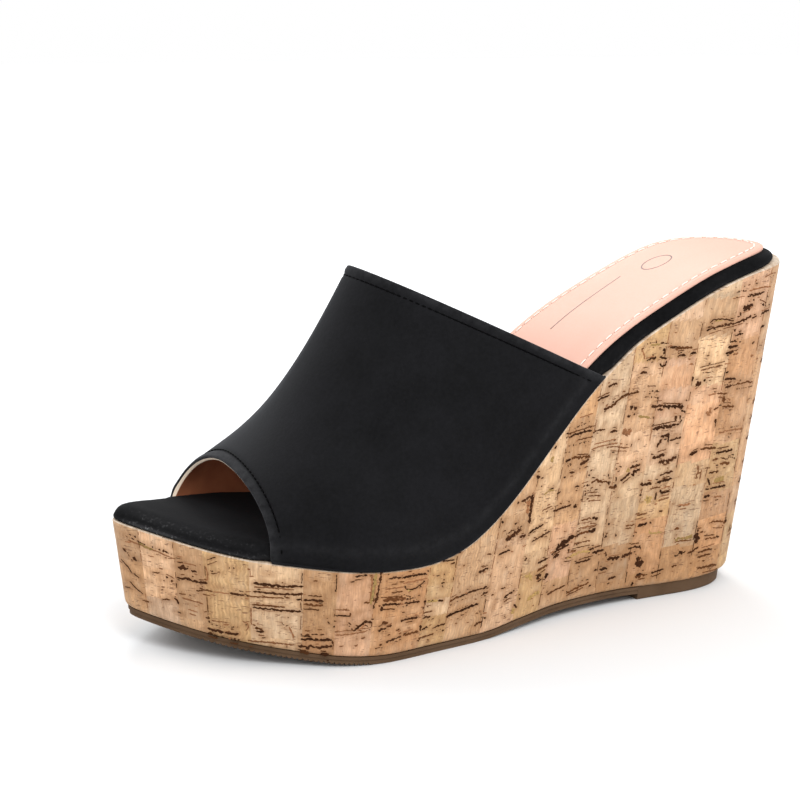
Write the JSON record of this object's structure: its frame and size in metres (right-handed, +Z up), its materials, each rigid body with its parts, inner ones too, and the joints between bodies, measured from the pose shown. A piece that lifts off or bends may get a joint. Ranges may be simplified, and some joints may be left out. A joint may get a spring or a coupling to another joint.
{
  "type": "platform slide",
  "caption": "Women's peep-toe wedge slide with a nubuck vamp on a high cork-covered platform wedge, left shoe.",
  "frame": {"origin": "on the floor, under the middle of the shoe's bounding box", "axes": "+X from the heel towards the toe, +Y towards the outer side of the foot, +Z up"},
  "size_m": [0.222, 0.0858, 0.1119],
  "materials": {
    "cork": "natural cork sheet, matt",
    "rubber": "brown, matt",
    "nubuck": "black, napped, matt",
    "lining": "pale peach, smooth"
  },
  "bodies": {
    "root": {"wedge": "cork", "outsole": "rubber", "heel_lift": "rubber", "footbed": "nubuck", "sock": "lining", "upper": "nubuck"}
  },
  "joints": []
}
